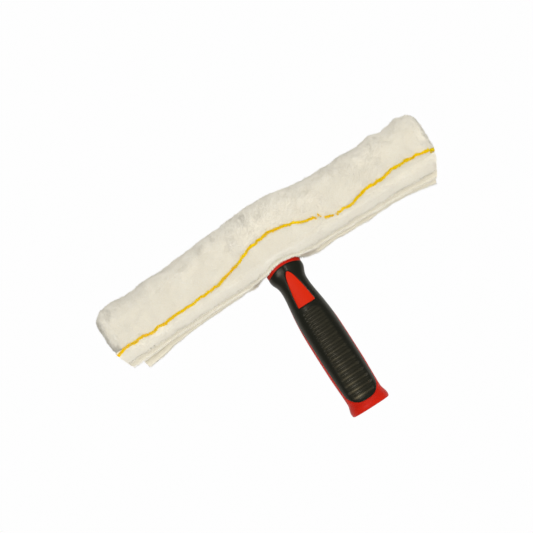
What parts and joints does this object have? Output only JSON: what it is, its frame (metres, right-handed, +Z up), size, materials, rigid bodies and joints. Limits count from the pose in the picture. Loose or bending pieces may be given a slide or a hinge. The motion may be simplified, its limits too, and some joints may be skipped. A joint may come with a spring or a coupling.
{
  "type": "window scrubber",
  "caption": "T-shaped window scrubber: plush sleeve with a yellow stripe on a perforated crossbar, and a ribbed two-material handle with a pole socket.",
  "frame": {"origin": "centre of the pole socket's mouth, in the butt face of the handle", "axes": "+X along the crossbar, +Y along the handle from the butt to the crossbar, +Z up from the table that the tool lies on"},
  "size_m": [0.352, 0.2177, 0.0407],
  "materials": {
    "red_plastic": "satin moulded",
    "badge_red": "satin moulded",
    "black_rubber": "soft-touch, ribbed",
    "grey_plastic": "moulded",
    "cap_plastic": "moulded",
    "steel": "plated",
    "plush": "cream plush with a broken yellow stripe",
    "hem_cloth": "rolled hem",
    "tape": "hook-and-loop tape"
  },
  "bodies": {
    "frame": {"handle_core": "red_plastic", "grip_cover": "black_rubber", "badge_inlay": "badge_red", "crossbar": "grey_plastic", "end_cap_left": "cap_plastic", "end_cap_right": "cap_plastic", "fork_screws": "steel", "sleeve_panel": "plush", "end_panel_left": "plush", "end_panel_right": "plush"},
    "front_flap": {"front_lip": "plush", "front_hem": "hem_cloth", "loop_tape_left": "tape", "loop_tape_right": "tape"},
    "back_flap": {"back_lip": "plush", "back_hem": "hem_cloth", "hook_tape_left": "tape", "hook_tape_right": "tape"}
  },
  "joints": [
    {"name": "front_flap_fold", "type": "hinge", "parent": "frame", "child": "front_flap", "pos_m": [0, 0.168, 0.0232], "axis": [-1, 0, 0], "range_deg": [0, 70]},
    {"name": "back_flap_fold", "type": "hinge", "parent": "frame", "child": "back_flap", "pos_m": [0, 0.168, -0.0175], "axis": [1, 0, 0], "range_deg": [0, 60]}
  ]
}
